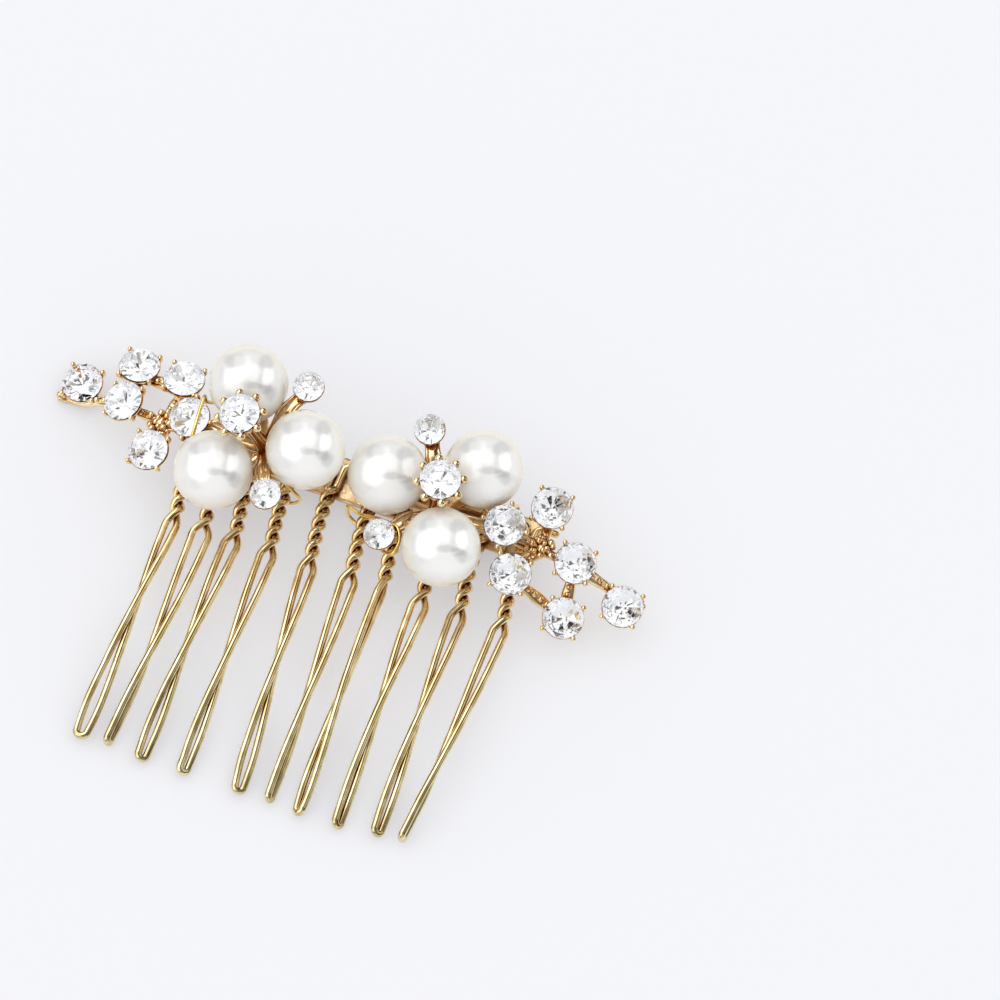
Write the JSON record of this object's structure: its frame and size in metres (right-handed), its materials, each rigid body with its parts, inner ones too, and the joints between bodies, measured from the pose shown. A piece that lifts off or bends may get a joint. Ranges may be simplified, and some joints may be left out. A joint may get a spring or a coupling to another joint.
{
  "type": "decorative hair comb",
  "caption": "Twisted-wire hair comb with two cast gold-tone sprays of round pearls and faceted clear stones wired along its top.",
  "frame": {"origin": "middle of the base strip's flat back face, at the middle of the row of teeth", "axes": "+X runs along the row of teeth, -Y points down the teeth to their tips, +Z points out of the ornament's face, away from the head"},
  "size_m": [0.0799, 0.0534, 0.0192],
  "materials": {
    "comb_wire": "polished pale gold plate on round wire",
    "casting": "polished champagne-gold plate on a casting",
    "base_strip": "matt mottled tan-gold plate",
    "tie_wire": "bright yellow-gold thin wire",
    "pearl": "satin ivory imitation pearl",
    "stone": "clear faceted stone with a silvered back"
  },
  "bodies": {
    "root": {"comb_wire": "comb_wire", "base_strip": "base_strip", "casting_left": "casting", "casting_right": "casting", "pearl_left_1": "pearl", "pearl_left_2": "pearl", "pearl_left_3": "pearl", "stone_left_centre": "stone", "stone_left_low": "stone", "stone_left_side": "stone", "stone_left_near": "stone", "stone_left_upper": "stone", "stone_left_middle": "stone", "stone_left_outer": "stone", "stone_left_inner": "stone", "stone_left_tip": "stone", "tie_wire_left_outer": "tie_wire", "tie_wire_left_inner": "tie_wire", "pearl_right_1": "pearl", "pearl_right_2": "pearl", "pearl_right_3": "pearl", "stone_right_centre": "stone", "stone_right_low": "stone", "stone_right_side": "stone", "stone_right_near": "stone", "stone_right_upper": "stone", "stone_right_middle": "stone", "stone_right_outer": "stone", "stone_right_inner": "stone", "stone_right_tip": "stone", "tie_wire_right_outer": "tie_wire", "tie_wire_right_inner": "tie_wire"}
  },
  "joints": []
}
